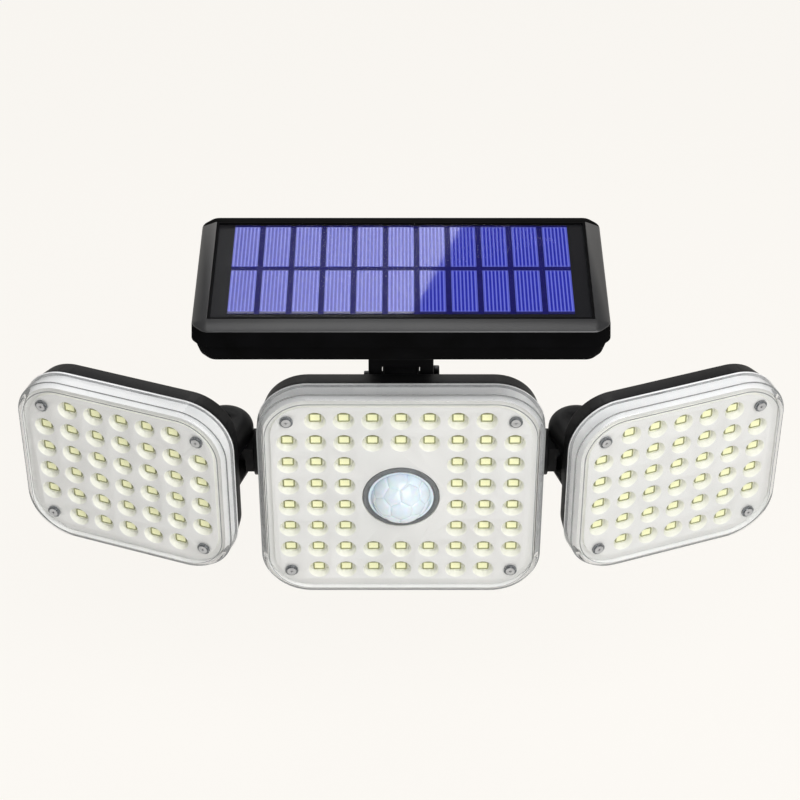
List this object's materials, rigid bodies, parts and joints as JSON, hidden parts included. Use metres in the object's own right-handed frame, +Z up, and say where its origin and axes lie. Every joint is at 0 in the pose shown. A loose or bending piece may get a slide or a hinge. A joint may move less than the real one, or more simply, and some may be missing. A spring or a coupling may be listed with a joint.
{
  "type": "solar security light",
  "caption": "Wall-mounted solar security light: square heads with clear covers over LED grids, side heads on swivelling knuckles, a motion-sensor dome and a tilting solar panel.",
  "frame": {"origin": "centre of the wall plate's back face, which lies against the wall", "axes": "+X to the right of someone who faces the light, +Y into the wall, +Z up"},
  "size_m": [0.316, 0.0926, 0.1585],
  "materials": {
    "black_plastic": "satin moulded plastic",
    "grey_plastic": "fine matt texture",
    "clear_cover": "clear polished polycarbonate",
    "panel_glass": "clear toughened glass",
    "solar_cell": "blue silicon with fine printed lines",
    "cell_backing": "dark laminate",
    "white_plastic": "white reflective plastic",
    "led_yellow": "yellow phosphor in a dull frame",
    "board": "white solder mask",
    "green_board": "green solder mask with black parts",
    "rubber": "soft grey silicone",
    "steel": "zinc-plated steel",
    "black_steel": "black-oxide steel",
    "dome": "milky polyethylene with moulded facets",
    "nylon": "black nylon",
    "battery_wrap": "blue shrink wrap"
  },
  "bodies": {
    "base": {"wall_plate": "black_plastic", "mount_bracket": "black_plastic", "bracket_screws": "steel", "housing_screws": "steel", "centre_housing": "black_plastic", "centre_gasket": "rubber", "centre_lens": "clear_cover", "centre_led_board": "board", "centre_leds": "led_yellow", "centre_reflector": "white_plastic", "centre_screws": "steel", "pir_dome": "dome", "pir_collar": "grey_plastic", "pir_sensor": "steel", "control_board": "green_board", "mode_switch": "grey_plastic", "battery": "battery_wrap", "battery_holder": "black_plastic", "hinge_washers": "nylon"},
    "panel": {"panel_frame": "grey_plastic", "panel_glass": "panel_glass", "solar_cells": "solar_cell", "cell_backing": "cell_backing", "panel_seal": "rubber", "panel_back": "black_plastic", "panel_screws": "steel", "panel_neck": "black_plastic", "neck_screws": "steel", "hinge_bolt": "black_steel", "hinge_nut": "black_steel"},
    "button": {"mode_button": "grey_plastic"},
    "left_arm_link": {"left_arm": "black_plastic", "left_arm_seal": "rubber", "left_arm_clip": "steel", "left_yaw_pin": "steel"},
    "left_head": {"left_housing": "black_plastic", "left_gasket": "rubber", "left_lens": "clear_cover", "left_led_board": "board", "left_leds": "led_yellow", "left_reflector": "white_plastic", "left_screws": "steel"},
    "right_arm_link": {"right_arm": "black_plastic", "right_arm_seal": "rubber", "right_arm_clip": "steel", "right_yaw_pin": "steel"},
    "right_head": {"right_housing": "black_plastic", "right_gasket": "rubber", "right_lens": "clear_cover", "right_led_board": "board", "right_leds": "led_yellow", "right_reflector": "white_plastic", "right_screws": "steel"}
  },
  "joints": [
    {"name": "panel_tilt", "type": "hinge", "parent": "base", "child": "panel", "pos_m": [0, -0.038, 0.0621], "axis": [1, 0, 0], "range_deg": [-10, 25]},
    {"name": "mode_button_press", "type": "slide", "parent": "base", "child": "button", "axis": [0, 0, 1], "range_m": [0, 0.0008], "stiffness_N_per_m": 1000, "springref_m": -0.0004},
    {"name": "left_arm_pitch", "type": "hinge", "parent": "base", "child": "left_arm_link", "pos_m": [-0.057, -0.0448, 0.0277], "axis": [1, 0, 0], "range_deg": [-45, 45]},
    {"name": "left_head_yaw", "type": "hinge", "parent": "left_arm_link", "child": "left_head", "pos_m": [-0.0736, -0.0393, 0.0277], "axis": [0, 0, -1], "range_deg": [-15, 20]},
    {"name": "right_arm_pitch", "type": "hinge", "parent": "base", "child": "right_arm_link", "pos_m": [0.057, -0.0448, 0.0277], "axis": [1, 0, 0], "range_deg": [-45, 45]},
    {"name": "right_head_yaw", "type": "hinge", "parent": "right_arm_link", "child": "right_head", "pos_m": [0.0736, -0.0393, 0.0277], "axis": [0, 0, 1], "range_deg": [-15, 20]}
  ]
}
